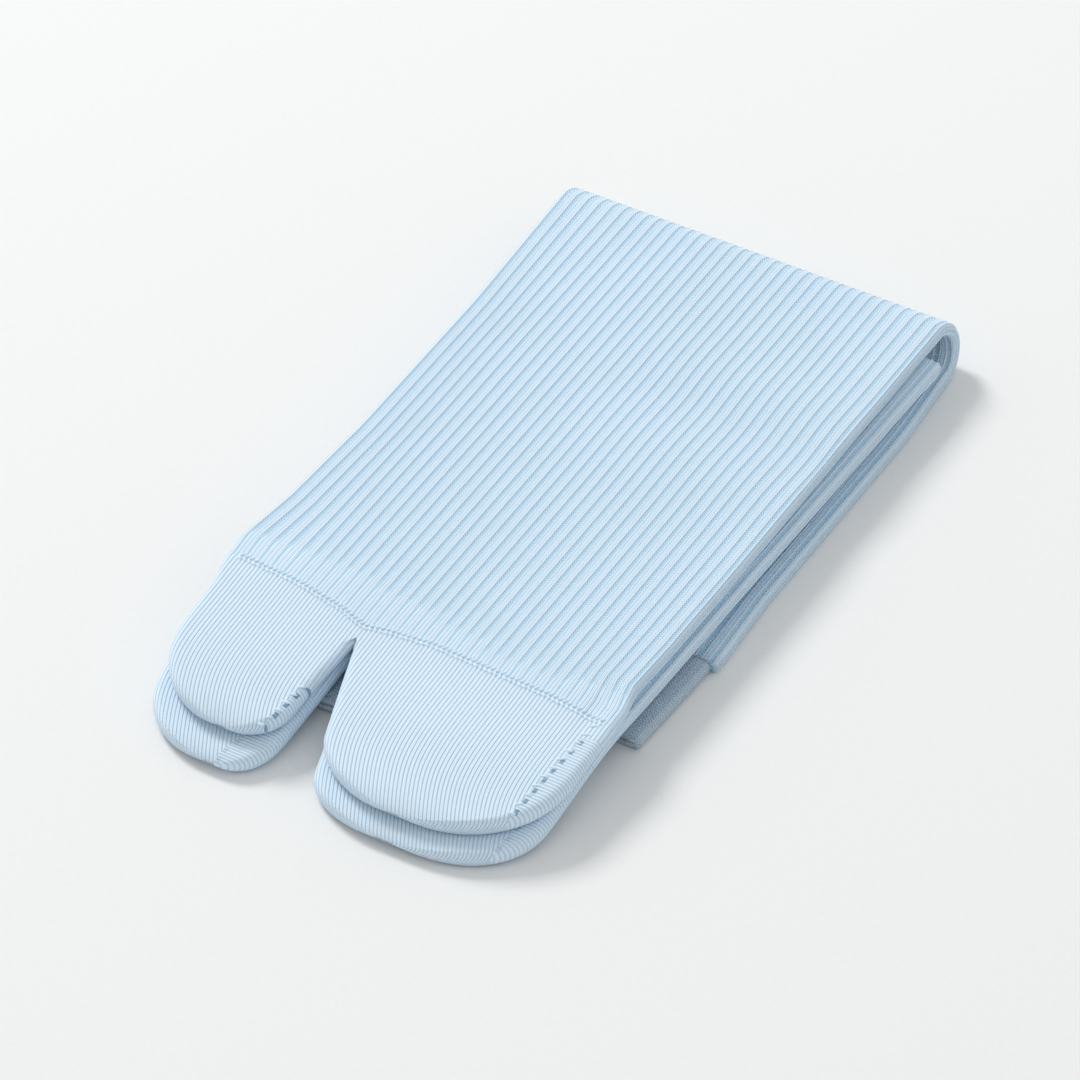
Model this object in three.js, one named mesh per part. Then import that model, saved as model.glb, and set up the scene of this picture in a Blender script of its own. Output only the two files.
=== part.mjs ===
// A pair of split-toe rib socks, laid sole to sole and folded once at the leg. Millimetres, +Z up.
// +Y runs from the toe tips to the fold and +X points to the side of the four small toes. The origin is
// under the middle of the folded pair, on the surface that it lies on.
//
// Each sock is a flat hollow tube: foot, fold and leg, with a small pocket for the big toe and a wide one
// for the others. The upper sock lies instep up and its leg wraps round everything. The lower sock is
// turned sole up, and its fold and leg lie inside.

import * as THREE from 'three';

// ---- Driving dimensions ----
const cloth = 1.2;                          // the knitted wall
const slack = 0.6;                          // air between the two layers of a flat tube
const clear = 0.3;                          // air between neighbouring pieces
const tubeHalf = cloth + slack / 2;         // half the thickness of a flat tube
const level = 2 * tubeHalf + clear;         // from one tube of the stack to the next

const splitY = -54.3;                       // root of the gap between the toe pockets
const splitX = -12.3;
const restY = -43;                          // in front of this the feet sink towards the surface
const toeTipY = -90;
const toeTipMid = 2.2;                      // height of the lower sock's middle at its toe tips
const toePlump = 0.5;                       // the toe pockets are this much fuller, above and below
const plumpFrom = -52;
const plumpTo = -72;
const tipRound = 5;                         // length over which a toe pocket's thickness rounds off

const upperFoldY = 91.3;                    // outermost points of the two folds
const lowerFoldY = 80.5;
const upperWeltY = -17.1;                   // where leg meets welt, and where the welt ends
const upperMouthY = -43.7;
const lowerWeltY = -38;
const lowerMouthY = -64.5;
const lowerMouthMid = 1.9;                  // height of the lower welt's middle at its mouth

const seamWidth = 1.6;                      // linking seam
const seamHeight = 0.6;

// ---- Outlines, seen from above ----
// left and right are the edges of the flat tube at y. A foot's last row and a leg's first one give the
// edges where the fold starts and ends, whatever the exact y of its curve.
const upperFoot = [
  { y: splitY, left: -45.6, right: 43.9 },
  { y: -47, left: -47.0, right: 44.0 },
  { y: -40, left: -47.6, right: 42.6 },
  { y: -26, left: -45.8, right: 43.2 },
  { y: 0, left: -44.6, right: 43.6 },
  { y: 45, left: -44.6, right: 44.0 },
  { y: 85, left: -46.2, right: 44.4 },
];
const upperLeg = [
  { y: 85, left: -44.0, right: 47.0 },
  { y: 62, left: -42.5, right: 48.2 },
  { y: 5, left: -42.6, right: 47.2 },
  { y: upperWeltY, left: -42.2, right: 48.0 },
];
const upperWelt = [
  { y: upperWeltY, left: -40.8, right: 46.6 },
  { y: upperMouthY, left: -40.2, right: 45.3 },
];
const lowerFoot = [
  { y: splitY, left: -45.2, right: 43.4 },
  { y: -40, left: -45.6, right: 44.2 },
  { y: 0, left: -44.5, right: 45.2 },
  { y: 40, left: -43.4, right: 46.4 },
  { y: 78, left: -42.6, right: 47.6 },
];
const lowerLeg = [
  { y: 78, left: -43.8, right: 46.0 },
  { y: 55, left: -45.0, right: 44.6 },
  { y: lowerWeltY, left: -46.4, right: 42.4 },
];
const lowerWelt = [
  { y: lowerWeltY, left: -45.0, right: 41.0 },
  { y: -44, left: -44.9, right: 40.8 },
  { y: -51, left: -44.8, right: 40.6 },
  { y: -58, left: -44.7, right: 40.4 },
  { y: lowerMouthY, left: -44.6, right: 40.2 },
];

// A toe pocket: its tip, its two sides where they are straight (at the root and at the tip's y), and how
// far from the tip each side starts to round in.
const upperToes = {
  roundness: 2.1,
  big: { tipX: -25, tipY: -84, left: [-45.6, -44.6], leftRound: 18, right: [splitX, -14.6], rightRound: 9 },
  wide: { tipX: 16, tipY: -88, left: [splitX, -2.4], leftRound: 11, right: [43.9, 43.4], rightRound: 22 },
};
const lowerToes = {
  roundness: 2.3,
  big: {
    tipX: -24, tipY: -89.8, left: [-45.2, -44.4], leftRound: 18, right: [splitX, -14.4], rightRound: 11,
  },
  wide: { tipX: 16, tipY: -91.3, left: [splitX, -2.3], leftRound: 9, right: [43.4, 42.4], rightRound: 18 },
};

// The linking seam runs straight across the instep and dips to the root of the toe gap.
const seamLine = [
  { x: -42.5, y: -46.2 },
  { x: -30, y: -47.0 },
  { x: -18.5, y: -49.2 },
  { x: -12.8, y: -51.2 },
  { x: -8, y: -50.2 },
  { x: 2, y: -49.2 },
  { x: 28, y: -50.2 },
  { x: 40, y: -51.4 },
];

// ---- Small helpers ----
const clamp01 = (u) => Math.min(Math.max(u, 0), 1);
const smooth = (u) => clamp01(u) ** 2 * (3 - 2 * clamp01(u));
const mix = (a, b, u) => a + (b - a) * u;

// Width of a rounded end, 0 at its tip and 1 at u = 1 and beyond.
function rounding(u, roundness) {
  return (1 - (1 - clamp01(u)) ** roundness) ** (1 / roundness);
}

// ---- Heights of the stack ----
const halfThickness = (y) => tubeHalf + toePlump * smooth((plumpFrom - y) / (plumpFrom - plumpTo));
const upperLegMid = tubeHalf;
const lowerLegFlat = tubeHalf + level;
const lowerFootFlat = tubeHalf + 2 * level;

const lowerFootMid = (y) => mix(toeTipMid, lowerFootFlat, smooth((y - toeTipY) / (restY - toeTipY)));
const upperFootMid = (y) => lowerFootMid(y) + 2 * halfThickness(y) + clear;
const lowerLegMid = (y) => {
  const onUpperLeg = upperMouthY - clear;
  return mix(lowerMouthMid, lowerLegFlat, smooth((y - lowerMouthY) / (onUpperLeg - lowerMouthY)));
};

// ---- Rings ----
// A ring goes once round the flat tube: up the left edge, over the outer layer from left to right, down
// the right edge and back along the inner layer. Column splitColumn lies on the line of the toe gap.
const splitColumn = 3;
const lastColumn = 8;
const edgeAngles = [-Math.PI / 4, 0, Math.PI / 4];

// across: x of the columns; edges are half circles of radius half about the end columns.
function ringPoints(place, across, half) {
  const at = (x, n) => new THREE.Vector3(x, place.y + n * place.ny, place.z + n * place.nz);
  const first = across[0];
  const last = across[across.length - 1];
  return [
    ...edgeAngles.map((angle) => at(first - half * Math.cos(angle), half * Math.sin(angle))),
    ...across.map((x) => at(x, half)),
    ...edgeAngles.map((angle) => at(last + half * Math.cos(angle), -half * Math.sin(angle))),
    ...[...across].reverse().map((x) => at(x, -half)),
  ];
}

function spread(from, to, count) {
  return Array.from({ length: count }, (_, i) => mix(from, to, count > 1 ? i / (count - 1) : 0));
}

// Columns of the whole tube between two edges, with one of them on the line of the toe gap.
function tubeColumns(left, right, half) {
  const toSplit = spread(left + half, splitX, splitColumn + 1);
  const fromSplit = spread(splitX, right - half, lastColumn - splitColumn + 1);
  return [...toSplit, ...fromSplit.slice(1)];
}

const flatPlace = (y, z, up) => ({ y, z, ny: 0, nz: up });

// A skin is a list of points with faces between its rings, every face turned outwards.
class Skin {
  constructor() {
    this.points = [];
    this.faces = [];
  }

  ring(points) {
    const start = this.points.length;
    this.points.push(...points);
    return points.map((_, i) => start + i);
  }

  band(a, b) {
    for (let i = 0; i < a.length; i += 1) {
      const j = (i + 1) % a.length;
      this.faces.push([a[i], a[j], b[j]], [a[i], b[j], b[i]]);
    }
  }

  tip(point, ring) {
    const apex = this.points.push(point) - 1;
    ring.forEach((vertex, i) => this.faces.push([apex, ring[(i + 1) % ring.length], vertex]));
  }
}

// ---- The tube ----
const foldSteps = 6;

// Rings of a sock from the root of the toes, over the foot, round the fold and along the leg.
function tubeRings(sock, inset) {
  const half = tubeHalf - inset;
  const ringAt = (place, left, right) => {
    return ringPoints(place, tubeColumns(left + inset, right - inset, half), half);
  };
  const footRows = sock.foot.slice(0, -1);
  const rings = footRows.map((row) => ringAt(flatPlace(row.y, sock.footMid(row.y), 1), row.left, row.right));
  const footEnd = sock.foot[sock.foot.length - 1];
  const legStart = sock.leg[0];
  const [top, bottom] = [sock.footMid(footEnd.y), sock.legMid(legStart.y)];
  const radius = (top - bottom) / 2;
  const centre = sock.foldY - radius - tubeHalf;
  for (let step = 0; step <= foldSteps; step += 1) {
    const angle = Math.PI * (step / foldSteps);
    const [ny, nz] = [Math.sin(angle), Math.cos(angle)];
    const place = { y: centre + radius * ny, z: (top + bottom) / 2 + radius * nz, ny, nz };
    const share = step / foldSteps;
    const left = mix(footEnd.left, legStart.left, share);
    const right = mix(footEnd.right, legStart.right, share);
    rings.push(ringAt(place, left, right));
  }
  for (const row of sock.leg.slice(1)) {
    rings.push(ringAt(flatPlace(row.y, sock.legMid(row.y), -1), row.left, row.right));
  }
  return rings;
}

// ---- The toe pockets ----
const pocketDistances = [0.4, 1.6, 3.6, 6.5, 10.5, 16, 23];

// The two edges of a pocket at y.
function pocketEdges(pocket, y, roundness) {
  const share = (y - splitY) / (pocket.tipY - splitY);
  const side = (ends, length) => {
    const straight = mix(ends[0], ends[1], share);
    return mix(pocket.tipX, straight, rounding((y - pocket.tipY) / length, roundness));
  };
  return [side(pocket.left, pocket.leftRound), side(pocket.right, pocket.rightRound)];
}

// Rings of one pocket from its tip to just in front of the root, each with its own number of columns.
function pocketRings(sock, pocket, columns, inset) {
  const tipInset = inset > 0 ? inset + 1 : 0;
  const inner = { ...pocket, tipY: pocket.tipY + tipInset };
  const rings = pocketDistances.map((distance) => {
    const y = inner.tipY + distance;
    const fullHalf = halfThickness(y) * rounding((y - pocket.tipY) / tipRound, 2);
    const half = Math.max(fullHalf - inset, slack / 4);
    const [left, right] = pocketEdges(inner, y, sock.toes.roundness);
    const edge = Math.min(half, (right - left) / 4);
    const place = flatPlace(y, sock.footMid(y), 1);
    return ringPoints(place, spread(left + inset + edge, right - inset - edge, columns), half);
  });
  const tip = new THREE.Vector3(pocket.tipX, inner.tipY, sock.footMid(inner.tipY));
  return { rings, tip };
}

// The whole sock as one skin, closed at the toes and open at the leg's end. Where the pockets part, their
// rings share the foot's first ring and a short curve down the root of the gap.
function sockSkin(sock, inset) {
  const skin = new Skin();
  const tube = tubeRings(sock, inset).map((points) => skin.ring(points));
  tube.slice(1).forEach((ring, i) => skin.band(tube[i], ring));

  const root = tube[0];
  const edgeCount = edgeAngles.length;
  const topSplit = edgeCount + splitColumn;
  const bottomSplit = 2 * edgeCount + 2 * lastColumn + 1 - splitColumn;
  const half = tubeHalf - inset;
  const mid = sock.footMid(splitY);
  const crotch = skin.ring(edgeAngles.map((angle) => (
    new THREE.Vector3(splitX, splitY + inset + half * Math.cos(angle) / 2, mid - half * Math.sin(angle))
  )));
  const bigRoot = [...root.slice(0, topSplit + 1), ...crotch, ...root.slice(bottomSplit)];
  const wideRoot = [...[...crotch].reverse(), ...root.slice(topSplit, bottomSplit + 1)];
  const pockets = [
    { shape: sock.toes.big, root: bigRoot, columns: splitColumn + 1 },
    { shape: sock.toes.wide, root: wideRoot, columns: lastColumn - splitColumn + 1 },
  ];
  for (const pocket of pockets) {
    const { rings, tip } = pocketRings(sock, pocket.shape, pocket.columns, inset);
    const placed = rings.map((points) => skin.ring(points));
    skin.tip(tip, placed[0]);
    placed.slice(1).forEach((ring, i) => skin.band(placed[i], ring));
    skin.band(placed[placed.length - 1], pocket.root);
  }
  skin.mouths = [tube[tube.length - 1]];
  return skin;
}

// A welt is a short piece of tube, open at both ends.
function weltSkin(rows, mid, inset) {
  const skin = new Skin();
  const half = tubeHalf - inset;
  const rings = rows.map((row, i) => {
    const y = i > 0 ? row.y : row.y - clear;
    const columns = tubeColumns(row.left + inset, row.right - inset, half);
    return skin.ring(ringPoints(flatPlace(y, mid(y), -1), columns, half));
  });
  rings.slice(1).forEach((ring, i) => skin.band(rings[i], ring));
  skin.mouths = [[...rings[0]].reverse(), rings[rings.length - 1]];
  return skin;
}

// ---- Solids ----
function meshOf(name, points, faces, colour, roughness) {
  const geometry = new THREE.BufferGeometry();
  geometry.setAttribute('position', new THREE.Float32BufferAttribute(points.flatMap((p) => p.toArray()), 3));
  geometry.setIndex(faces.flat());
  geometry.computeVertexNormals();
  const material = new THREE.MeshStandardMaterial({ color: colour, roughness, metalness: 0 });
  const mesh = new THREE.Mesh(geometry, material);
  mesh.name = name;
  return mesh;
}

// Cloth between an outer and an inner skin, joined by a rim at each mouth.
function clothMesh(name, outer, inner, colour) {
  const shift = outer.points.length;
  const faces = [...outer.faces, ...inner.faces.map(([a, b, c]) => [a + shift, c + shift, b + shift])];
  outer.mouths.forEach((mouth, m) => {
    const lining = inner.mouths[m].map((vertex) => vertex + shift);
    mouth.forEach((vertex, i) => {
      const j = (i + 1) % mouth.length;
      faces.push([vertex, mouth[j], lining[j]], [vertex, lining[j], lining[i]]);
    });
  });
  return meshOf(name, [...outer.points, ...inner.points], faces, colour, 0.95);
}

// y of the linking seam at x, in straight lines between the rows of its table.
function seamY(x) {
  const after = Math.max(1, seamLine.findIndex((row) => row.x >= x));
  const [a, b] = [seamLine[after - 1], seamLine[after]];
  return mix(a.y, b.y, (x - a.x) / (b.x - a.x));
}

// The ridge of the linking seam: the instep's points moved out, with a low rounded section.
function seamMesh(name, colour) {
  const skin = new Skin();
  const section = [
    { across: -seamWidth / 2, up: 0 },
    { across: -seamWidth / 4, up: seamHeight },
    { across: seamWidth / 4, up: seamHeight },
    { across: seamWidth / 2, up: 0 },
  ];
  const first = seamLine[0].x;
  const last = seamLine[seamLine.length - 1].x;
  const rings = spread(first, last, 15).map((x) => {
    return skin.ring(section.map(({ across, up }) => {
      const y = seamY(x) + across;
      return new THREE.Vector3(x, y, upperFootMid(y) + halfThickness(y) + clear + up);
    }));
  });
  rings.slice(1).forEach((ring, i) => skin.band(ring, rings[i]));
  const start = rings[0];
  const end = rings[rings.length - 1];
  skin.faces.push([start[0], start[1], start[2]], [start[0], start[2], start[3]]);
  skin.faces.push([end[0], end[2], end[1]], [end[0], end[3], end[2]]);
  return meshOf(name, skin.points, skin.faces, colour, 0.95);
}

// ---- The pair ----
const ribBlue = 0xc6dcee;
const weltBlue = 0xc0d6e8;
const seamBlue = 0xd2e3f2;

const upper = {
  foot: upperFoot,
  leg: upperLeg,
  toes: upperToes,
  foldY: upperFoldY,
  footMid: upperFootMid,
  legMid: () => upperLegMid,
};
const lower = {
  foot: lowerFoot,
  leg: lowerLeg,
  toes: lowerToes,
  foldY: lowerFoldY,
  footMid: lowerFootMid,
  legMid: lowerLegMid,
};

const socks = new THREE.Group();
socks.add(clothMesh('upper_sock', sockSkin(upper, 0), sockSkin(upper, cloth), ribBlue));
socks.add(clothMesh(
  'upper_cuff',
  weltSkin(upperWelt, upper.legMid, 0),
  weltSkin(upperWelt, upper.legMid, cloth),
  weltBlue,
));
socks.add(seamMesh('upper_toe_seam', seamBlue));
socks.add(clothMesh('lower_sock', sockSkin(lower, 0), sockSkin(lower, cloth), ribBlue));
socks.add(clothMesh(
  'lower_cuff',
  weltSkin(lowerWelt, lower.legMid, 0),
  weltSkin(lowerWelt, lower.legMid, cloth),
  weltBlue,
));

// The origin is the middle of the pair's box, at its foot.
const box = new THREE.Box3().setFromObject(socks);
socks.position.set(-(box.min.x + box.max.x) / 2, -(box.min.y + box.max.y) / 2, -box.min.z);

export default socks;
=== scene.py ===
# A pair of split-toe rib socks, laid sole to sole and folded once at the leg. Metres, with the tables of
# sizes in millimetres. +Y runs from the toe tips to the fold, +X to the side of the four small toes.
import math

import bpy
import numpy as np
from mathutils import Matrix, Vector


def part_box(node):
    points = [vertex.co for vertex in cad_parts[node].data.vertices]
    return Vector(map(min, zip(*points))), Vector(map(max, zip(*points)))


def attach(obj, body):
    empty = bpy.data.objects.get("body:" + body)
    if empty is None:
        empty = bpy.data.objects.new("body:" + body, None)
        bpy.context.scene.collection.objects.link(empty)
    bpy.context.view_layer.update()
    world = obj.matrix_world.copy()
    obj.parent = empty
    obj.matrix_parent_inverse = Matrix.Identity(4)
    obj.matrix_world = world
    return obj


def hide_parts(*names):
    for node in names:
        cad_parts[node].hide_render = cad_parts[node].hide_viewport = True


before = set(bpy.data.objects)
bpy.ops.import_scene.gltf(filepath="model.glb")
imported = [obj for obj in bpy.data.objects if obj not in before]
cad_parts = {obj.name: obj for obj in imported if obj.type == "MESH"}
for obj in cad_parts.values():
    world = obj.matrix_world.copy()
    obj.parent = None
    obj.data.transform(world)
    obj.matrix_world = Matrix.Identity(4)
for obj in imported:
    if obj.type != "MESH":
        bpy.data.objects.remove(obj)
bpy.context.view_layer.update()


# ---- View, light and floor ----
# A pale smooth table, a big soft lamp behind the socks on the side of the big toes, and an even sky.
view_elevation = math.radians(42)
view_azimuth = math.radians(30)
view_target = Vector((0.0009, -0.0060, 0.0060))
view_distance = 1.3

towards_camera = Vector((
    math.sin(view_azimuth) * math.cos(view_elevation),
    -math.cos(view_azimuth) * math.cos(view_elevation),
    math.sin(view_elevation),
))
camera_data = bpy.data.cameras.new("table_camera")
camera_data.lens = 217.3
camera_data.sensor_width = 36
camera_data.clip_start = 0.05
camera_data.clip_end = 20
camera = bpy.data.objects.new("table_camera", camera_data)
camera.location = view_target + towards_camera * view_distance
camera.rotation_euler = towards_camera.to_track_quat("Z", "Y").to_euler()
bpy.context.scene.collection.objects.link(camera)
bpy.context.scene.camera = camera


def soft_lamp(name, place, side, watts):
    lamp_data = bpy.data.lights.new(name, "AREA")
    lamp_data.size = side
    lamp_data.energy = watts
    lamp = bpy.data.objects.new(name, lamp_data)
    lamp.location = place
    lamp.rotation_euler = Vector(place).to_track_quat("Z", "Y").to_euler()
    bpy.context.scene.collection.objects.link(lamp)


soft_lamp("window_lamp", (-1.9, 0.9, 1.9), 0.8, 46.0)

sky = bpy.data.worlds.new("soft_sky")
sky.use_nodes = True
sky.node_tree.nodes["Background"].inputs["Color"].default_value = (0.985, 0.995, 1.0, 1)
sky.node_tree.nodes["Background"].inputs["Strength"].default_value = 0.67
bpy.context.scene.world = sky
bpy.context.scene.view_settings.view_transform = "Standard"
bpy.context.scene.view_settings.look = "None"


def add_node(tree, kind, **settings):
    made = tree.nodes.new(kind)
    for name, value in settings.items():
        setattr(made, name, value)
    return made


def feed(tree, socket, value):
    if isinstance(value, bpy.types.NodeSocket):
        tree.links.new(value, socket)
    else:
        socket.default_value = value


def maths(tree, operation, *values):
    made = add_node(tree, "ShaderNodeMath", operation=operation)
    for socket, value in zip(made.inputs, values):
        feed(tree, socket, value)
    return made.outputs[0]


def blend_colours(tree, share, first, second, blend="MIX"):
    made = add_node(tree, "ShaderNodeMix", data_type="RGBA", blend_type=blend)
    feed(tree, made.inputs[0], share)
    feed(tree, made.inputs[6], first)
    feed(tree, made.inputs[7], second)
    return made.outputs[2]


def fine_noise(tree, scale, detail=2.0):
    place = add_node(tree, "ShaderNodeTexCoord")
    noise = add_node(tree, "ShaderNodeTexNoise")
    noise.inputs["Scale"].default_value = scale
    noise.inputs["Detail"].default_value = detail
    tree.links.new(place.outputs["Object"], noise.inputs["Vector"])
    return noise.outputs["Fac"]


def new_material(name):
    material = bpy.data.materials.new(name)
    material.use_nodes = True
    tree = material.node_tree
    return material, tree, tree.nodes["Principled BSDF"]


def add_piece(name, points, faces, material, attributes=None):
    """A mesh object at the origin, from points in metres."""
    mesh = bpy.data.meshes.new(name)
    mesh.from_pydata(points, [], faces)
    for key, values in (attributes or {}).items():
        layer = mesh.attributes.new(key, "FLOAT", "POINT")
        layer.data.foreach_set("value", np.asarray(values, dtype=np.float32))
    mesh.materials.append(material)
    mesh.shade_smooth()
    mesh.update()
    piece = bpy.data.objects.new(name, mesh)
    bpy.context.scene.collection.objects.link(piece)
    return piece


table_material, table_tree, table_shader = new_material("pale_table")
table_grain = fine_noise(table_tree, 900)
table_colour = blend_colours(table_tree, table_grain, (0.830, 0.838, 0.833, 1), (0.866, 0.870, 0.866, 1))
feed(table_tree, table_shader.inputs["Base Color"], table_colour)
table_shader.inputs["Roughness"].default_value = 0.85
table_half = 3.0
table_corners = [
    (-table_half, -table_half, 0),
    (table_half, -table_half, 0),
    (table_half, table_half, 0),
    (-table_half, table_half, 0),
]
add_piece("table_top", table_corners, [(0, 1, 2, 3)], table_material)


# ---- Rib knit ----
# Pale blue cotton yarn: groups of two knit wales and a sunken purl wale behind the toes, and plain knit
# round the toes. Each stitch is a V of two yarn strands.
# Lit and shaded copies of the yarn's blue: painted highlight on the rib crests and stitch tops, painted
# shade in the valleys and between the strands.
lit_knit_blue = (0.860, 0.925, 1.000, 1)
shaded_valley_blue = (0.500, 0.755, 0.960, 1)
# Painted shade: the dark blue seen inside the open loops beside the gores.
eyelet_shade_blue = (0.130, 0.290, 0.460, 1)
course_height = 0.75
plain_wale = 0.86
eyelet_turn = 2 * math.pi * course_height / 2.9


def group_sockets(tree, inputs, outputs):
    for name in inputs:
        tree.interface.new_socket(name=name, in_out="INPUT", socket_type="NodeSocketFloat")
    for name in outputs:
        tree.interface.new_socket(name=name, in_out="OUTPUT", socket_type="NodeSocketFloat")
    return add_node(tree, "NodeGroupInput"), add_node(tree, "NodeGroupOutput")


def knit_loops_group():
    """Height of a plain knit face. Wale and Course count stitches across and along the cloth."""
    tree = bpy.data.node_groups.new("Knit loops", "ShaderNodeTree")
    given, result = group_sockets(tree, ["Wale", "Course"], ["Height"])
    from_middle = maths(tree, "SUBTRACT", maths(tree, "FRACT", given.outputs["Wale"]), 0.5)
    aside = maths(tree, "ABSOLUTE", from_middle)
    from_strand = maths(tree, "MULTIPLY", maths(tree, "SUBTRACT", aside, 0.25), 4.0)
    strand = maths(tree, "SUBTRACT", 1.0, maths(tree, "POWER", maths(tree, "ABSOLUTE", from_strand), 2.0))
    rising = maths(tree, "SUBTRACT", given.outputs["Course"], maths(tree, "MULTIPLY", aside, 1.3))
    wave = maths(tree, "COSINE", maths(tree, "MULTIPLY", rising, 2 * math.pi))
    beads = maths(tree, "MULTIPLY_ADD", wave, 0.30, 0.70)
    loops = maths(tree, "MULTIPLY", strand, beads)
    off_middle = maths(tree, "POWER", maths(tree, "MULTIPLY", aside, 2.0), 2.2)
    wale = maths(tree, "SUBTRACT", 1.0, off_middle)
    height = maths(tree, "MULTIPLY_ADD", wale, 0.72, maths(tree, "MULTIPLY", loops, 0.28))
    tree.links.new(height, result.inputs["Height"])
    return tree


def purl_bumps_group():
    """Height of a purl face: short cross bars, every other column half a stitch on."""
    tree = bpy.data.node_groups.new("Purl bumps", "ShaderNodeTree")
    given, result = group_sockets(tree, ["Wale", "Course"], ["Height"])
    across = maths(tree, "COSINE", maths(tree, "MULTIPLY", given.outputs["Wale"], 2 * math.pi))
    shifted = maths(tree, "MULTIPLY_ADD", across, 0.22, given.outputs["Course"])
    along = maths(tree, "COSINE", maths(tree, "MULTIPLY", shifted, 2 * math.pi))
    tree.links.new(maths(tree, "MULTIPLY_ADD", along, 0.5, 0.5), result.inputs["Height"])
    return tree


knit_loops = knit_loops_group()
purl_bumps = purl_bumps_group()


def use_group(tree, group, **values):
    made = add_node(tree, "ShaderNodeGroup", node_tree=group)
    for name, value in values.items():
        feed(tree, made.inputs[name], value)
    return made.outputs[0]


def cloth_value(tree, name):
    return add_node(tree, "ShaderNodeAttribute", attribute_name=name).outputs["Fac"]


def pick(tree, share, first, second):
    made = add_node(tree, "ShaderNodeMix", data_type="FLOAT")
    feed(tree, made.inputs[0], share)
    feed(tree, made.inputs[2], first)
    feed(tree, made.inputs[3], second)
    return made.outputs[0]


def finish_yarn(tree, shader, colour, height, strength):
    """Yarn fuzz, sheen and the bump of the stitches."""
    fuzz = fine_noise(tree, 5200, 3.0)
    patches = fine_noise(tree, 42, 2.0)
    shade = maths(tree, "MULTIPLY_ADD", fuzz, 0.16, 0.92)
    shade = maths(tree, "MULTIPLY", shade, maths(tree, "MULTIPLY_ADD", patches, 0.06, 0.97))
    tinted = blend_colours(tree, 1.0, colour, shade, "MULTIPLY")
    feed(tree, shader.inputs["Base Color"], tinted)
    shader.inputs["Roughness"].default_value = 0.88
    shader.inputs["Specular IOR Level"].default_value = 0.25
    shader.inputs["Sheen Weight"].default_value = 0.08
    shader.inputs["Sheen Roughness"].default_value = 0.5
    shader.inputs["Sheen Tint"].default_value = (0.92, 0.96, 1.0, 1)
    raised = maths(tree, "MULTIPLY_ADD", fuzz, 0.35, height)
    bump = add_node(tree, "ShaderNodeBump")
    bump.inputs["Strength"].default_value = strength
    bump.inputs["Distance"].default_value = 0.00030
    feed(tree, bump.inputs["Height"], raised)
    tree.links.new(bump.outputs["Normal"], shader.inputs["Normal"])


rib_material, rib_tree, rib_shader = new_material("rib_knit")
in_front = maths(rib_tree, "GREATER_THAN", cloth_value(rib_tree, "front"), 0.0)
in_gore = maths(rib_tree, "GREATER_THAN", cloth_value(rib_tree, "gore"), 0.0)
rib_wale = cloth_value(rib_tree, "wale")
rib_course = cloth_value(rib_tree, "course")
toe_wale = cloth_value(rib_tree, "toe_wale")
toe_course = cloth_value(rib_tree, "toe_course")
toe_across = pick(rib_tree, in_gore, toe_wale, toe_course)
toe_along = pick(rib_tree, in_gore, toe_course, toe_wale)
wale_count = pick(rib_tree, in_front, rib_wale, toe_across)
course_count = pick(rib_tree, in_front, rib_course, toe_along)
rib_loops = use_group(rib_tree, knit_loops, Wale=wale_count, Course=course_count)
rib_purls = use_group(rib_tree, purl_bumps, Wale=wale_count, Course=course_count)
purl_share = cloth_value(rib_tree, "purl")
rib_height = pick(rib_tree, purl_share, rib_loops, rib_purls)
crest_light = cloth_value(rib_tree, "crest_light")
# Painted light: the crests and stitch tops are painted lit, the valleys and the gaps between strands
# painted in shade.
rib_lit = maths(rib_tree, "MULTIPLY_ADD", rib_height, 0.22, maths(rib_tree, "MULTIPLY", crest_light, 0.80))
# On the toes the grooves between the wales are painted in shade.
toe_lit = maths(rib_tree, "MULTIPLY", rib_height, 0.82)
lit = pick(rib_tree, in_front, rib_lit, toe_lit)
# Painted shade in the open loops: dark dots in a row beside each gore, stronger on the upper sock.
beside_gore = maths(rib_tree, "ABSOLUTE", maths(rib_tree, "SUBTRACT", cloth_value(rib_tree, "gore"), 0.55))
along_gore = maths(rib_tree, "COSINE", maths(rib_tree, "MULTIPLY", toe_course, eyelet_turn))
near_gore = maths(rib_tree, "LESS_THAN", beside_gore, 0.42)
eyelet_shade_mask = maths(rib_tree, "MULTIPLY", near_gore, maths(rib_tree, "GREATER_THAN", along_gore, 0.25))
shaded_yarn_colour = blend_colours(rib_tree, lit, shaded_valley_blue, lit_knit_blue)
eyelet_shade_mask = maths(rib_tree, "MULTIPLY", eyelet_shade_mask, cloth_value(rib_tree, "open_loop_shade"))
rib_colour = blend_colours(rib_tree, eyelet_shade_mask, shaded_yarn_colour, eyelet_shade_blue)
finish_yarn(rib_tree, rib_shader, rib_colour, rib_height, 0.75)


# ---- Upper sock ----
# The sock on top, instep up. One flat tube of rib: foot, fold and leg, with a pocket for the big toe and
# a wide one for the others. Its leg turns down at the fold and runs back under the whole pile.
mm = 0.001
cloth = 1.2
slack = 0.6
clear = 0.3
tube_half = cloth + slack / 2
level = 2 * tube_half + clear
split_y = -54.3
split_x = -12.3
rest_y = -43
toe_tip_y = -90
toe_tip_middle = 2.2
toe_plump = 0.5
plump_from = -52
plump_to = -72
tip_round = 5
tip_crowding = 2.2                   # rings lie closer together towards a pocket's tip
tip_course_share = 0.8
narrow_inset = 0.2
bend_softness = 2.5
gore_end_drop = 20
gore_end_fade = 8
seam_x = [-42.5, -30, -18.5, -12.8, -8, 2, 28, 40]
seam_y = [-46.2, -47.0, -49.2, -51.2, -50.2, -49.2, -50.2, -51.4]
band_x = [-37, -18, -7, 14, 36]
band_y = [-38.2, -38.5, -39.7, -44.3, -43.2]

usual_edges = (-45.3, 43.8)          # the wales run straight between these, and only the sides give
side_stretch = 14
plain_crest_light = 0.45                   # painted light on the yarn where the cloth has no ribs
faded_crest_light = 0.35                   # how much of the ribs' painted highlight stays on in the plain band
far_behind = -9.0                    # distances that only say which side of a line the cloth is on
far_in_front = 5.0
ribs_round = 72
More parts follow.
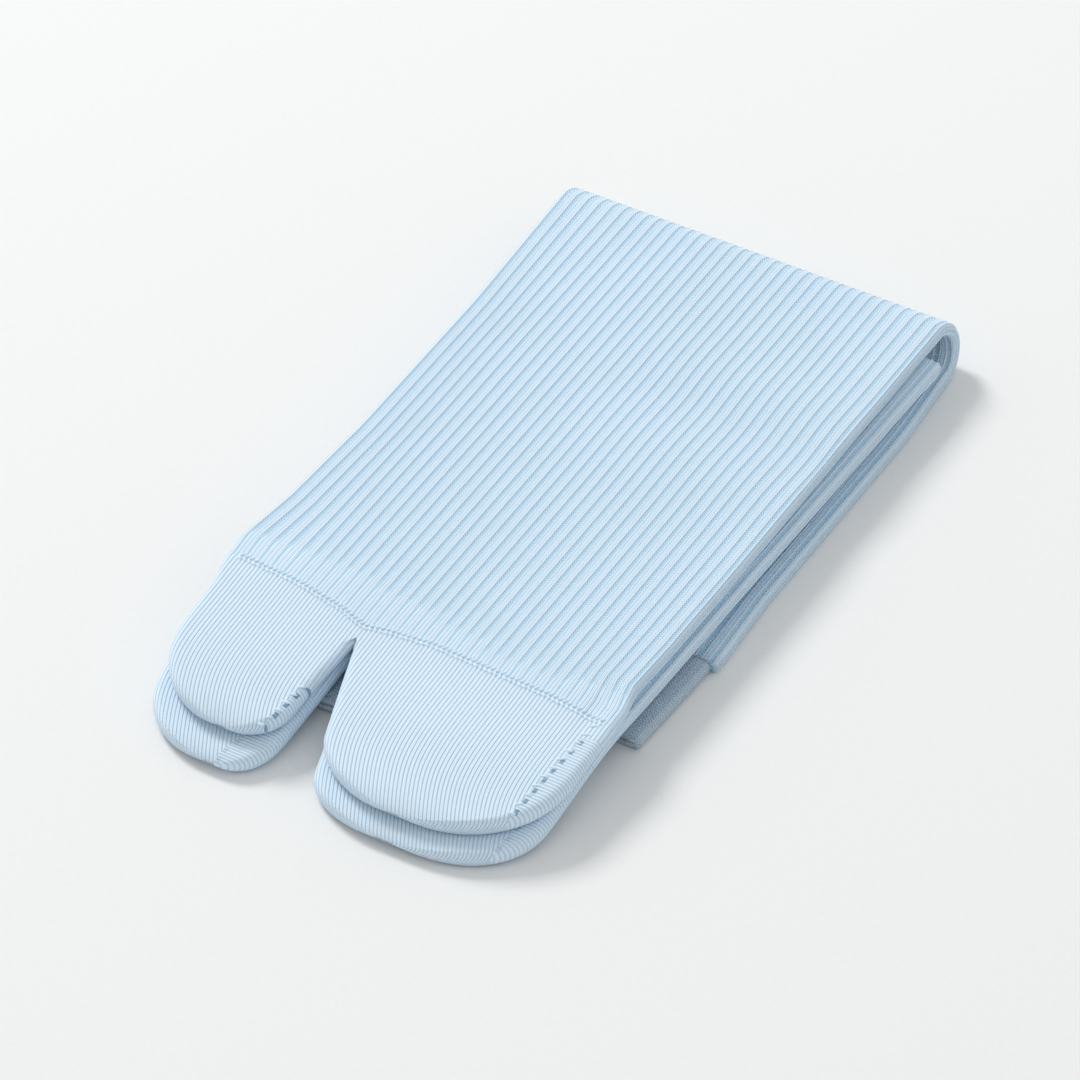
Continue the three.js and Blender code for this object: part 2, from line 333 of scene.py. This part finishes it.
# One rib: places of its nine columns as shares of its width, how deep each lies, and how much painted
# highlight its yarn gets.
rib_places = [0.0, 0.14, 0.22, 0.30, 0.43, 0.57, 0.70, 0.78, 0.86]
rib_depths = [0.27, 0.23, 0.09, 0.0, 0.17, 0.17, 0.0, 0.09, 0.23]
rib_crest_lights = [0.12, 0.10, 0.38, 1.0, 0.26, 0.26, 1.0, 0.38, 0.10]
wale_edges = [0.0, 0.17, 0.5, 0.83, 1.0]
wale_numbers = [0.0, 0.5, 1.5, 2.5, 3.0]


def smooth(u):
    u = np.clip(u, 0, 1)
    return u * u * (3 - 2 * u)


def mix(a, b, u):
    return a + (b - a) * u


def rounding(u, roundness):
    return (1 - (1 - np.clip(u, 0, 1)) ** roundness) ** (1 / roundness)


def half_thickness(y):
    return tube_half + toe_plump * smooth((plump_from - y) / (plump_from - plump_to))


def lower_foot_middle(y):
    return mix(toe_tip_middle, tube_half + 2 * level, smooth((y - toe_tip_y) / (rest_y - toe_tip_y)))


def upper_foot_middle(y):
    return lower_foot_middle(y) + 2 * half_thickness(y) + clear


def stadium(s, left, right, half):
    """Points and outward directions at distances s round a flat ring, from its left edge upwards."""
    edge = min(half, (right - left) / 4)
    flat = right - left - 2 * edge
    quarter = math.pi * edge / 2
    bounds = np.cumsum([quarter, flat, 2 * quarter, flat])
    zones = [s < bounds[0], s < bounds[1], s < bounds[2], s < bounds[3]]
    angles = [
        s / edge,
        np.full_like(s, math.pi / 2),
        math.pi / 2 + (s - bounds[1]) / edge,
        np.full_like(s, 1.5 * math.pi),
    ]
    angle = np.select(zones, angles, 1.5 * math.pi + (s - bounds[3]) / edge)
    runs = [left + edge, left + edge + (s - bounds[0]), right - edge, right - edge - (s - bounds[2])]
    centre = np.select(zones, [np.broadcast_to(run, s.shape) for run in runs], left + edge)
    return centre - edge * np.cos(angle), half * np.sin(angle), -np.cos(angle), np.sin(angle)


def ring_length(left, right, half):
    edge = min(half, (right - left) / 4)
    return 2 * (right - left - 2 * edge) + 2 * math.pi * edge


class ClothSkin:
    """Points, cloth values and faces of one skin, ring by ring."""

    keys = ("crest_light", "purl", "wale", "course", "toe_wale", "toe_course", "front", "gore", "open_loop_shade")

    def __init__(self):
        self.points = []
        self.values = []
        self.faces = []
        self.count = 0

    def ring(self, points, values):
        start = self.count
        self.points.append(points)
        self.values.append(np.stack([np.broadcast_to(values[key], len(points)) for key in self.keys], 1))
        self.count += len(points)
        return np.arange(start, self.count)

    def band(self, a, b):
        c, d = np.roll(a, -1), np.roll(b, -1)
        self.faces.extend(np.stack([a, c, d, b], 1).tolist())

    def fan(self, tip, ring):
        self.faces.extend(np.stack([np.full_like(ring, tip), np.roll(ring, -1), ring], 1).tolist())


def rib_columns():
    """Shares of the way round, depths, wales and painted crest light of all the outer skin's columns."""
    places = (np.arange(ribs_round)[:, None] + np.array(rib_places)[None]).ravel()
    wales = np.interp(places % 1, wale_edges, wale_numbers) + 3 * np.floor(places)
    return places / ribs_round, np.tile(rib_depths, ribs_round), wales, np.tile(rib_crest_lights, ribs_round)


def tube_stations(sock, foot_gap, bend_steps, leg_gap):
    """Rows of y, z, direction of the outer layer, edges and length along the cloth."""
    foot, leg = np.array(sock["foot"]), np.array(sock["leg"])[::-1]
    top, bottom = sock["foot_middle"](foot[-1, 0]), sock["leg_middle"](leg[-1, 0])
    radius = (top - bottom) / 2
    centre = sock["fold_y"] - radius - tube_half
    rows = []
    foot_ys = np.linspace(split_y, centre, round((centre - split_y) / foot_gap) + 1)
    for y in foot_ys[:-1]:
        left, right = np.interp(y, foot[:, 0], foot[:, 1]), np.interp(y, foot[:, 0], foot[:, 2])
        rows.append((y, sock["foot_middle"](y), 0, 1, left, right))
    for angle in np.linspace(0, math.pi, bend_steps + 1):
        share = angle / math.pi
        left, right = mix(foot[-1, 1], leg[-1, 1], share), mix(foot[-1, 2], leg[-1, 2], share)
        ny, nz = math.sin(angle), math.cos(angle)
        rows.append((centre + radius * ny, (top + bottom) / 2 + radius * nz, ny, nz, left, right))
    leg_end = leg[0, 0]
    for y in np.linspace(centre, leg_end, round((centre - leg_end) / leg_gap) + 1)[1:]:
        left, right = np.interp(y, leg[:, 0], leg[:, 1]), np.interp(y, leg[:, 0], leg[:, 2])
        rows.append((y, sock["leg_middle"](y), 0, -1, left, right))
    rows = np.array(rows)
    along = np.concatenate([[0], np.cumsum(np.hypot(np.diff(rows[:, 0]), np.diff(rows[:, 1])))])
    return np.column_stack([rows, along + split_y])


def rib_strength(x, y):
    """1 on the rib, less in the plain band behind the seam, 0 in front of the seam."""
    past_band = np.interp(x, band_x, band_y) - y
    past_seam = np.interp(x, seam_x, seam_y) - y
    fade = 1 - 0.62 * smooth((past_band + 0.6) / 3.0)
    return fade * (1 - smooth((past_seam + 1.6) / 2.2))


def pocket_edges(pocket, y, roundness):
    share = (y - split_y) / (pocket["tip_y"] - split_y)
    edges = []
    for ends, reach in ((pocket["left"], pocket["left_round"]), (pocket["right"], pocket["right_round"])):
        straight = mix(ends[0], ends[1], share)
        edges.append(mix(pocket["tip_x"], straight, rounding((y - pocket["tip_y"]) / reach, roundness)))
    return edges


def sock_skin(sock, inset, columns, foot_gap, bend_steps, leg_gap, pocket_rings, crotch_steps):
    """One closed-toe skin, open at the leg's end. columns are (shares, depths, wales, painted crest light).
    """
    skin = ClothSkin()
    shares, depths, wales, crest_lights = columns
    half = tube_half - inset
    rings = []
    for y, z, ny, nz, left, right, along in tube_stations(sock, foot_gap, bend_steps, leg_gap):
        left, right = left + inset, right - inset
        usual_left, usual_right = usual_edges[0] + inset, usual_edges[1] - inset
        length = ring_length(usual_left, usual_right, half)
        s = shares * length
        x, n, nx, nn = stadium(s, usual_left, usual_right, half)
        to_left = smooth((side_stretch - x + usual_left) / side_stretch + half / side_stretch)
        to_right = smooth((side_stretch + x - usual_right) / side_stretch + half / side_stretch)
        aside = (left - usual_left) * to_left + (right - usual_right) * to_right
        x = x + aside
        on_foot = nz > 0.99
        foot_y = y if on_foot else 0.0
        strength = rib_strength(x, foot_y)
        out = -depths * strength
        if inset == 0:
            out = out + sock["waves"](x, along) * np.clip(nn, 0, 1)
        reach = n + nn * out
        points = np.column_stack([x + nx * out, y + reach * ny, z + reach * nz])
        past = np.where(s < 0.75 * length, s, s - length)
        across = past + usual_left + half - math.pi * half / 2 + aside
        values = {
            "crest_light": mix(plain_crest_light, crest_lights, np.clip(faded_crest_light + strength, 0, 1)),
            "purl": np.where((wales % 3 < 0.5) | (wales % 3 > 2.5), 1.0, 0.0) * (strength > 0.6),
            "wale": wales,
            "course": along / course_height,
            "toe_wale": across / plain_wale,
            "toe_course": y / course_height,
            "front": (np.interp(x, seam_x, seam_y) - y) if on_foot else far_behind,
            "gore": far_behind,
            "open_loop_shade": 0.0,
        }
        rings.append(skin.ring(points, values))
    for first, second in zip(rings[:-1], rings[1:]):
        skin.band(first, second)

    root = rings[0]
    count = len(shares)
    root_points = skin.points[0]
    upper_half = count // 2
    split = int(np.argmin(np.abs(root_points[:upper_half, 0] - split_x)))
    angles = np.linspace(math.pi / 2, -math.pi / 2, crotch_steps + 2)[1:-1]
    middle = sock["foot_middle"](split_y)
    crotch_points = np.column_stack([
        np.full(crotch_steps, root_points[split, 0]),
        split_y + inset + half * np.cos(angles) / 2,
        middle + half * np.sin(angles),
    ])
    crotch_values = {
        "crest_light": plain_crest_light,
        "purl": 0,
        "wale": 0,
        "course": 0,
        "toe_wale": split_x / plain_wale,
        "toe_course": split_y / course_height,
        "front": far_in_front,
        "gore": far_behind,
        "open_loop_shade": 0,
    }
    crotch = skin.ring(crotch_points, crotch_values)
    mirror = count - split
    big_root = np.concatenate([root[:split + 1], crotch, root[mirror:]])
    wide_root = np.concatenate([crotch[::-1], root[split:mirror + 1]])
    add_pocket(skin, sock, sock["big"], big_root, split, crotch_steps, inset, pocket_rings)
    add_pocket(skin, sock, sock["wide"], wide_root, upper_half - split, crotch_steps, inset, pocket_rings)
    skin.mouths = [rings[-1]]
    return skin


def add_pocket(skin, sock, pocket, root, top_count, crotch_steps, inset, pocket_rings):
    """A toe pocket from its tip to the root ring, whose columns it keeps."""
    tip_inset = inset + 1 if inset > 0 else 0
    inner = {**pocket, "tip_y": pocket["tip_y"] + tip_inset}
    reach = split_y - inner["tip_y"]
    distances = reach * np.linspace(0, 1, pocket_rings + 2)[1:-1] ** tip_crowding
    placed = []
    for distance in distances:
        y = inner["tip_y"] + distance
        full = half_thickness(y) * rounding((y - pocket["tip_y"]) / tip_round, 2)
        half = max(full - inset, slack / 4)
        left, right = pocket_edges(inner, y, sock["roundness"])
        left = left + inset * (1 if right - left > 4 * inset else narrow_inset)
        right = right - inset * (1 if right - left > 4 * inset else narrow_inset)
        edge = min(half, (right - left) / 4)
        quarter = math.pi * edge / 2
        total = ring_length(left, right, half)
        flat = right - left - 2 * edge
        turn = np.linspace(0, 2 * quarter, crotch_steps + 2)[1:-1]
        if pocket["gap_side"] == "right":
            over = np.linspace(0, quarter + flat, top_count + 1)
            under = (total - over[1:])[::-1]
            s = np.concatenate([over, quarter + flat + turn, under])
        else:
            over = np.linspace(quarter, total / 2, top_count + 1)
            under = (total - over[:-1])[::-1]
            s = np.concatenate([(turn - quarter) % total, over, under])
        x, n, _, nn = stadium(s, left, right, half)
        z = sock["foot_middle"](y)
        points = np.column_stack([x, np.full_like(x, y), z + n])
        past = np.where(s < 0.75 * total, s, s - total)
        near_tip = (pocket["tip_y"] + pocket["bend_from"] - y) / bend_softness
        bent = np.log1p(np.exp(near_tip)) * bend_softness
        across = past + left + edge - quarter - pocket["bend"] * bent
        drop = half_thickness(y) - half if inset == 0 else 0
        gore = x - np.interp(y, pocket["gore_y"], pocket["gore_x"])
        gore = gore - gore_end_drop * smooth((y - pocket["gore_y"][1]) / gore_end_fade)
        values = {
            "crest_light": plain_crest_light,
            "purl": 0,
            "wale": 0,
            "course": 0,
            "toe_wale": across / plain_wale,
            "toe_course": (y - tip_course_share * drop) / course_height,
            "front": far_in_front,
            "gore": gore,
            "open_loop_shade": sock["open_loop_shade"],
        }
        if inset == 0:
            points[:, 2] += sock["waves"](x, y) * np.clip(nn, 0, 1)
        placed.append(skin.ring(points, values))
    tip_point = np.array([[pocket["tip_x"], inner["tip_y"], sock["foot_middle"](inner["tip_y"])]])
    tip_values = {key: value[:1] for key, value in zip(ClothSkin.keys, skin.values[-1].T)}
    tip = skin.ring(tip_point, tip_values)[0]
    skin.fan(tip, placed[0])
    for first, second in zip(placed[:-1], placed[1:]):
        skin.band(first, second)
    skin.band(placed[-1], root)


def rim_faces(mouth, lining, is_first_ring):
    """Faces between the outer skin's mouth and the lining's, which has one column to each rib."""
    mouth, lining = mouth.tolist(), lining.tolist()
    per = len(mouth) // len(lining)
    faces = []
    for i, corner in enumerate(lining):
        run = [mouth[(i * per + k) % len(mouth)] for k in range(per + 1)]
        face = [*run, lining[(i + 1) % len(lining)], corner]
        faces.append(face[::-1] if is_first_ring else face)
    return faces


def close_cloth(name, outer, inner, material):
    """One wall of cloth: the outer skin, the inner skin turned round, and a rim at each mouth."""
    shift = outer.count
    faces = outer.faces + [[index + shift for index in reversed(face)] for face in inner.faces]
    for k, (mouth, lining) in enumerate(zip(outer.mouths, inner.mouths)):
        faces += rim_faces(mouth, lining + shift, k > 0)
    points = np.concatenate(outer.points + inner.points)
    points[:, 0] += shift_x
    values = np.concatenate(outer.values + inner.values)
    attributes = {key: values[:, k] for k, key in enumerate(ClothSkin.keys)}
    return add_piece(name, (points * mm).tolist(), faces, material, attributes)


def lining_of(count):
    shares = np.arange(count) / count
    return shares, np.zeros(count), shares * 3 * ribs_round, np.zeros(count)


def make_sock(name, sock):
    outer = sock_skin(
        sock, 0, rib_columns(),
        foot_gap=2.4, bend_steps=16, leg_gap=4.0, pocket_rings=28, crotch_steps=8,
    )
    inner = sock_skin(
        sock, cloth, lining_of(ribs_round),
        foot_gap=6, bend_steps=8, leg_gap=10, pocket_rings=8, crotch_steps=3,
    )
    return close_cloth(name, outer, inner, rib_material)


def upper_waves(x, along):
    """Soft troughs and swellings of the instep, placed one by one."""
    lean = along + 0.11 * (x - 15)
    fade = smooth((x + 12) / 25) * smooth((60 - x) / 22)
    trough = -0.42 * np.exp(-(((lean - 37.5) / 6.5) ** 2)) * fade
    swell = 0.45 * np.exp(-(((lean - 50) / 8) ** 2)) * fade
    near = 0.30 * np.exp(-(((lean - 22) / 9) ** 2)) * fade
    left_low = -0.22 * np.exp(-(((along - 12) / 15) ** 2) - ((x + 27) / 12) ** 2)
    toes = 0.18 * np.exp(-(((along + 66) / 9) ** 2) - ((x - 17) / 18) ** 2)
    pucker = -0.45 * np.exp(-(((along + 49) / 5) ** 2) - ((x - 38.5) / 1.8) ** 2)
    return trough + swell + near + left_low + toes + pucker


upper = {
    "foot": [
        (split_y, -45.6, 43.9),
        (-47, -47.0, 44.0),
        (-40, -47.6, 42.6),
        (-26, -45.8, 43.2),
        (0, -44.6, 43.6),
        (45, -44.6, 44.0),
        (85, -46.2, 44.4),
    ],
    "leg": [(85, -44.0, 47.0), (62, -42.5, 48.2), (5, -42.6, 47.2), (-17.1, -42.2, 48.0)],
    "fold_y": 91.3,
    "foot_middle": upper_foot_middle,
    "leg_middle": lambda y: tube_half,
    "waves": upper_waves,
    "roundness": 2.1,
    "open_loop_shade": 0.75,
    "big": {
        "gap_side": "right", "tip_x": -25, "tip_y": -84, "left": (-45.6, -44.6), "left_round": 18,
        "right": (split_x, -14.6), "right_round": 9,
        "bend": 0.5, "bend_from": 9, "gore_y": (-81.7, -70.4), "gore_x": (-17.2, -14.9),
    },
    "wide": {
        "gap_side": "left", "tip_x": 16, "tip_y": -88, "left": (split_x, -2.4), "left_round": 11,
        "right": (43.9, 43.4), "right_round": 22,
        "bend": 0.5, "bend_from": 11, "gore_y": (-79, -53), "gore_x": (37.1, 40.3),
    },
}
shift_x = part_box("upper_sock")[0][0] / mm + 47.6
upper_sock = make_sock("upper_sock_knit", upper)
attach(upper_sock, "root")
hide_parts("upper_sock")


# ---- Lower sock ----
# The same sock turned sole up, under the first one. Its fold and its leg lie inside the upper sock's.
lower_mouth_y = -64.5
lower_mouth_middle = 1.9
on_upper_leg = -44


def lower_leg_middle(y):
    share = smooth((y - lower_mouth_y) / (on_upper_leg - lower_mouth_y))
    return mix(lower_mouth_middle, tube_half + level, share)


lower = {
    "foot": [
        (split_y, -45.2, 43.4),
        (-40, -45.6, 44.2),
        (0, -44.5, 45.2),
        (40, -43.4, 46.4),
        (78, -42.6, 47.6),
    ],
    "leg": [(78, -43.8, 46.0), (55, -45.0, 44.6), (-38, -46.4, 42.4)],
    "fold_y": 80.5,
    "foot_middle": lower_foot_middle,
    "leg_middle": lower_leg_middle,
    "waves": lambda x, along: np.zeros_like(x),
    "roundness": 2.3,
    "open_loop_shade": 0.2,
    "big": {
        "gap_side": "right", "tip_x": -24, "tip_y": -89.8, "left": (-45.2, -44.4), "left_round": 18,
        "right": (split_x, -14.4), "right_round": 11,
        "bend": 0.5, "bend_from": 12, "gore_y": (-88, -70), "gore_x": (-23, -17),
    },
    "wide": {
        "gap_side": "left", "tip_x": 16, "tip_y": -91.3, "left": (split_x, -2.3), "left_round": 9,
        "right": (43.4, 42.4), "right_round": 18,
        "bend": 0.5, "bend_from": 12, "gore_y": (-90, -60), "gore_x": (36, 40),
    },
}
lower_sock = make_sock("lower_sock_knit", lower)
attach(lower_sock, "root")
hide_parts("lower_sock")


# ---- Cuffs ----
# The welt at each leg's end: a short turned tube of denser knit with a purl face, set just off the rib.
welt_material, welt_tree, welt_shader = new_material("welt_knit")
welt_wale = cloth_value(welt_tree, "wale")
welt_course = cloth_value(welt_tree, "course")
welt_height = use_group(welt_tree, purl_bumps, Wale=welt_wale, Course=welt_course)
# Painted shade in the hollows between the purl bumps, lit on their tops.
welt_shaded_colour = blend_colours(welt_tree, welt_height, (0.50, 0.66, 0.80, 1), (0.68, 0.79, 0.91, 1))
finish_yarn(welt_tree, welt_shader, welt_shaded_colour, welt_height, 1.0)


welt_relief = 0.3                    # of the depth of the ribs
welt_rings = 25
welt_lining_rings = 7


def make_cuff(name, rows, middle):
    """A welt, open at both ends, from rows of (y, left, right)."""
    rows = np.array(rows)
    skins = []
    for inset, columns in ((0, rib_columns()), (cloth, lining_of(ribs_round))):
        skin = ClothSkin()
        shares, depths, wales, crest_lights = columns
        rings = []
        start = rows[0, 0] - clear
        for y in np.linspace(start, rows[-1, 0], welt_rings if inset == 0 else welt_lining_rings):
            half = tube_half - inset
            left = np.interp(-y, -rows[:, 0], rows[:, 1]) + inset
            right = np.interp(-y, -rows[:, 0], rows[:, 2]) - inset
            s = shares * ring_length(left, right, half)
            x, n, nx, nn = stadium(s, left, right, half)
            out = -welt_relief * depths
            points = np.column_stack([x + nx * out, np.full_like(x, y), middle(y) - n - nn * out])
            values = {key: 0.0 for key in ClothSkin.keys}
            values["wale"] = wales
            values["course"] = y / course_height
            rings.append(skin.ring(points, values))
        for first, second in zip(rings[:-1], rings[1:]):
            skin.band(first, second)
        skin.mouths = [rings[-1], rings[0]]
        skins.append(skin)
    return close_cloth(name, *skins, welt_material)


upper_cuff = make_cuff(
    "upper_cuff_knit", [(-17.1, -40.8, 46.6), (-43.7, -40.2, 45.3)], upper["leg_middle"],
)
lower_cuff = make_cuff(
    "lower_cuff_knit",
    [(-38, -45.0, 41.0), (-44, -44.9, 40.8), (lower_mouth_y, -44.6, 40.2)],
    lower_leg_middle,
)
for cuff, node in ((upper_cuff, "upper_cuff"), (lower_cuff, "lower_cuff")):
    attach(cuff, "root")
    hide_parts(node)


# ---- Linking seam ----
# The row of slanted stitches that joins the toes to the foot: light fuzzy yarn in a herringbone, laid
# along the seam on the instep and dipping to the root of the toe gap.
seam_material, seam_tree, seam_shader = new_material("linking_yarn")
finish_yarn(seam_tree, seam_shader, (0.730, 0.875, 0.985, 1), 0.5, 0.6)


def stitch_tree():
    """Slanted yarn stitches along a line, with their sizes as inputs."""
    tree = bpy.data.node_groups.new("Yarn stitches", "GeometryNodeTree")
    sockets = [
        ("Geometry", "NodeSocketGeometry"), ("Stitches", "NodeSocketInt"), ("Length", "NodeSocketFloat"),
        ("Thickness", "NodeSocketFloat"), ("Slant", "NodeSocketFloat"), ("Unevenness", "NodeSocketFloat"),
        ("Yarn", "NodeSocketMaterial"),
    ]
    for name, kind in sockets:
        tree.interface.new_socket(name=name, in_out="INPUT", socket_type=kind)
    tree.interface.new_socket(name="Geometry", in_out="OUTPUT", socket_type="NodeSocketGeometry")
    given, result = add_node(tree, "NodeGroupInput"), add_node(tree, "NodeGroupOutput")
    line = add_node(tree, "GeometryNodeMeshToCurve")
    points = add_node(tree, "GeometryNodeCurveToPoints", mode="COUNT")
    tree.links.new(given.outputs["Geometry"], line.inputs["Mesh"])
    tree.links.new(line.outputs["Curve"], points.inputs["Curve"])
    tree.links.new(given.outputs["Stitches"], points.inputs["Count"])
    ball = add_node(tree, "GeometryNodeMeshUVSphere")
    ball.inputs["Segments"].default_value = 8
    ball.inputs["Rings"].default_value = 6
    ball.inputs["Radius"].default_value = 0.5
    size = add_node(tree, "ShaderNodeCombineXYZ")
    for axis, name in (("X", "Length"), ("Y", "Thickness"), ("Z", "Thickness")):
        tree.links.new(given.outputs[name], size.inputs[axis])
    shaped = add_node(tree, "GeometryNodeTransform")
    tree.links.new(ball.outputs["Mesh"], shaped.inputs["Geometry"])
    tree.links.new(size.outputs[0], shaped.inputs["Scale"])
    chance = add_node(tree, "FunctionNodeRandomValue", data_type="FLOAT")
    chance.inputs["Seed"].default_value = 7
    chance.inputs[2].default_value = -1
    chance.inputs[3].default_value = 1
    uneven = maths(tree, "MULTIPLY", chance.outputs[1], given.outputs["Unevenness"])
    turn = add_node(tree, "ShaderNodeCombineXYZ")
    tree.links.new(maths(tree, "ADD", given.outputs["Slant"], uneven), turn.inputs["Z"])
    placed = add_node(tree, "GeometryNodeInstanceOnPoints")
    tree.links.new(points.outputs["Points"], placed.inputs["Points"])
    tree.links.new(shaped.outputs["Geometry"], placed.inputs["Instance"])
    tree.links.new(turn.outputs[0], placed.inputs["Rotation"])
    real = add_node(tree, "GeometryNodeRealizeInstances")
    smoothed = add_node(tree, "GeometryNodeSetShadeSmooth")
    dyed = add_node(tree, "GeometryNodeSetMaterial")
    tree.links.new(placed.outputs["Instances"], real.inputs["Geometry"])
    tree.links.new(real.outputs["Geometry"], smoothed.inputs["Geometry"])
    tree.links.new(smoothed.outputs["Geometry"], dyed.inputs["Geometry"])
    tree.links.new(given.outputs["Yarn"], dyed.inputs["Material"])
    tree.links.new(dyed.outputs["Geometry"], result.inputs["Geometry"])
    return tree


yarn_stitches = stitch_tree()


def stitch_row(name, line, yarn, **sizes):
    """A plain mesh of stitches along a line of points in metres."""
    mesh = bpy.data.meshes.new(name + "_line")
    mesh.from_pydata(line, [(i, i + 1) for i in range(len(line) - 1)], [])
    holder = bpy.data.objects.new(name + "_line", mesh)
    bpy.context.scene.collection.objects.link(holder)
    modifier = holder.modifiers.new("Stitches", "NODES")
    modifier.node_group = yarn_stitches
    for socket in yarn_stitches.interface.items_tree:
        if socket.in_out == "INPUT" and socket.name in sizes:
            modifier[socket.identifier] = sizes[socket.name]
        if socket.in_out == "INPUT" and socket.name == "Yarn":
            modifier[socket.identifier] = yarn
    evaluated = holder.evaluated_get(bpy.context.evaluated_depsgraph_get())
    stitched = bpy.data.meshes.new_from_object(evaluated)
    bpy.data.objects.remove(holder)
    stitched.name = name
    return stitched


def join_meshes(name, meshes, material):
    """One object from several meshes of the same material."""
    points, faces = [], []
    for mesh in meshes:
        start = len(points)
        points += [tuple(vertex.co) for vertex in mesh.vertices]
        faces += [[index + start for index in polygon.vertices] for polygon in mesh.polygons]
    return add_piece(name, points, faces, material)


def instep_point(x, y, lift):
    """A point in metres on the upper sock's instep, lift millimetres above the cloth."""
    wave = float(upper_waves(np.array([x]), y)[0])
    return ((x + shift_x) * mm, y * mm, (upper_foot_middle(y) + half_thickness(y) + wave + lift) * mm)


seam_overrun = (1.2, 1.0)            # the stitches run on past the seam's first and last points
seam_row_offset = 0.42
seam_lift = 0.02
seam_points = 60
seam_xs = np.linspace(seam_x[0] - seam_overrun[0], seam_x[-1] + seam_overrun[1], seam_points)


def seam_line(aside):
    return [instep_point(x, np.interp(x, seam_x, seam_y) + aside, seam_lift) for x in seam_xs]


seam_lines = [seam_line(seam_row_offset), seam_line(-seam_row_offset)]
seam_rows = [
    stitch_row(
        f"linking_row_{row}", line, seam_material,
        Stitches=78, Length=1.35 * mm, Thickness=0.62 * mm, Slant=slant, Unevenness=0.16,
    )
    for row, (line, slant) in enumerate(zip(seam_lines, (math.radians(42), math.radians(-42))))
]
toe_seam = join_meshes("linking_seam_stitches", seam_rows, seam_material)
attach(toe_seam, "root")
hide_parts("upper_toe_seam")


# ---- Gores ----
# Each toe pocket is turned like a heel and closed along a short gore on its outer side: a row of small
# raised stitches, with the cloth's loops drawn open beside them.
def gore_line(pocket, lift):
    ys = np.linspace(pocket["gore_y"][1], pocket["gore_y"][0], 12)
    return [instep_point(np.interp(y, pocket["gore_y"], pocket["gore_x"]), y, lift) for y in ys]


gore_rows = [
    stitch_row(
        "gore_row_wide", gore_line(upper["wide"], -0.02), seam_material,
        Stitches=11, Length=1.9 * mm, Thickness=0.6 * mm, Slant=math.radians(18), Unevenness=0.3,
    ),
    stitch_row(
        "gore_row_big", gore_line(upper["big"], -0.02), seam_material,
        Stitches=6, Length=1.7 * mm, Thickness=0.6 * mm, Slant=math.radians(18), Unevenness=0.3,
    ),
]
gores = join_meshes("gore_stitches", gore_rows, seam_material)
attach(gores, "root")
